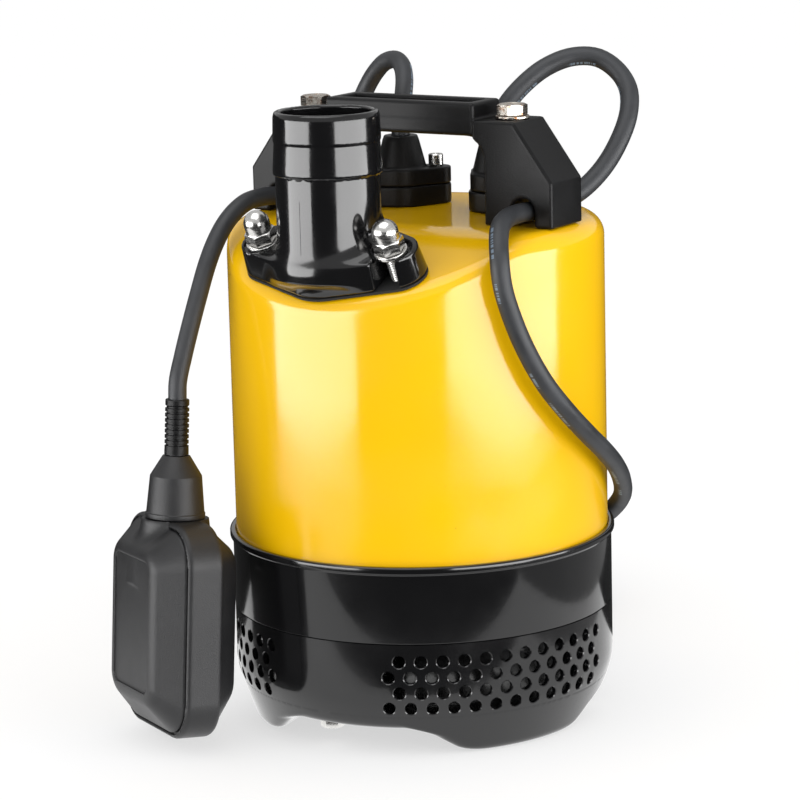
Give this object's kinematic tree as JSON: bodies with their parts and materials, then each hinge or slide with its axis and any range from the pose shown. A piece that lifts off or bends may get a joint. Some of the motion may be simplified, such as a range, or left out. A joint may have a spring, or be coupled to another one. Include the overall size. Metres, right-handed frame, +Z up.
{
  "type": "submersible sump pump",
  "caption": "Submersible drainage pump with a painted cover on a perforated black base, an upright hose coupling, a carrying handle, a tethered float switch and a mains lead.",
  "frame": {"origin": "on the floor, under the middle of the box round the pump without its cables and float", "axes": "+Z up along the pump's axis, -Y towards the hose coupling, X along the carrying handle"},
  "size_m": [0.3142, 0.4089, 0.3262],
  "materials": {
    "yellow_paint": "gloss",
    "black_enamel": "gloss",
    "black_plastic": "satin",
    "float_plastic": "satin",
    "cable_rubber": "matte",
    "stainless": "polished",
    "zinc_steel": "satin",
    "cast_iron": "rough",
    "electric_steel": "satin",
    "copper": "satin",
    "gasket_rubber": "matte",
    "ceramic": "gloss"
  },
  "bodies": {
    "pump": {"strainer": "black_enamel", "strainer_bolt_1": "stainless", "strainer_bolt_2": "stainless", "strainer_bolt_3": "stainless", "pump_casing": "black_enamel", "suction_cover": "cast_iron", "oil_casing": "cast_iron", "oil_plug": "stainless", "seal_seat": "ceramic", "motor_frame": "cast_iron", "lower_bearing": "stainless", "upper_bearing": "stainless", "upper_bearing_bracket": "cast_iron", "stator_core": "electric_steel", "winding_lower": "copper", "winding_upper": "copper", "motor_head_cover": "cast_iron", "run_capacitor": "black_plastic", "outer_cover": "yellow_paint", "discharge_gasket": "gasket_rubber", "hose_coupling": "black_enamel", "discharge_stud_left": "stainless", "discharge_stud_right": "stainless", "discharge_washer_left": "stainless", "discharge_washer_right": "stainless", "acorn_nut_left": "stainless", "acorn_nut_right": "stainless", "handle": "black_plastic", "handle_bolt_left": "zinc_steel", "handle_bolt_right": "zinc_steel", "handle_washer_left": "zinc_steel", "handle_washer_right": "zinc_steel", "float_gland_body": "black_plastic", "float_gland_cap": "black_plastic", "float_gland_screw_inner": "stainless", "float_gland_screw_outer": "stainless", "power_gland_body": "black_plastic", "power_gland_cap": "black_plastic", "power_gland_screw_inner": "stainless", "power_gland_screw_outer": "stainless", "power_cable": "cable_rubber", "power_cable_coil": "cable_rubber", "coil_tie": "black_plastic", "power_plug": "black_plastic", "float_cable_upper": "cable_rubber", "float_cable_bend": "cable_rubber"},
    "rotor": {"shaft": "stainless", "rotor_core": "electric_steel", "impeller": "cast_iron", "impeller_nut": "stainless", "seal_rotating_ring": "ceramic"},
    "float": {"float_cable_lower": "cable_rubber", "float_boot": "black_plastic", "float_collar": "float_plastic", "float_shell_outer": "float_plastic", "float_shell_inner": "float_plastic", "float_microswitch": "black_plastic"},
    "float_ball": {"float_ball": "stainless"}
  },
  "joints": [
    {"name": "rotor_spin", "type": "hinge", "parent": "pump", "child": "rotor", "pos_m": [0, 0.00293, 0.13], "axis": [0, 0, 1], "continuous": true},
    {"name": "float_swing", "type": "hinge", "parent": "pump", "child": "float", "pos_m": [-0.074, -0.058, 0.256], "axis": [-1, 0, 0], "range_deg": [0, 120], "deforming": ["float_cable_bend"]},
    {"name": "ball_roll", "type": "slide", "parent": "float", "child": "float_ball", "axis": [0.0037, 0.0905, 0.9959], "range_m": [0, 0.035]}
  ]
}
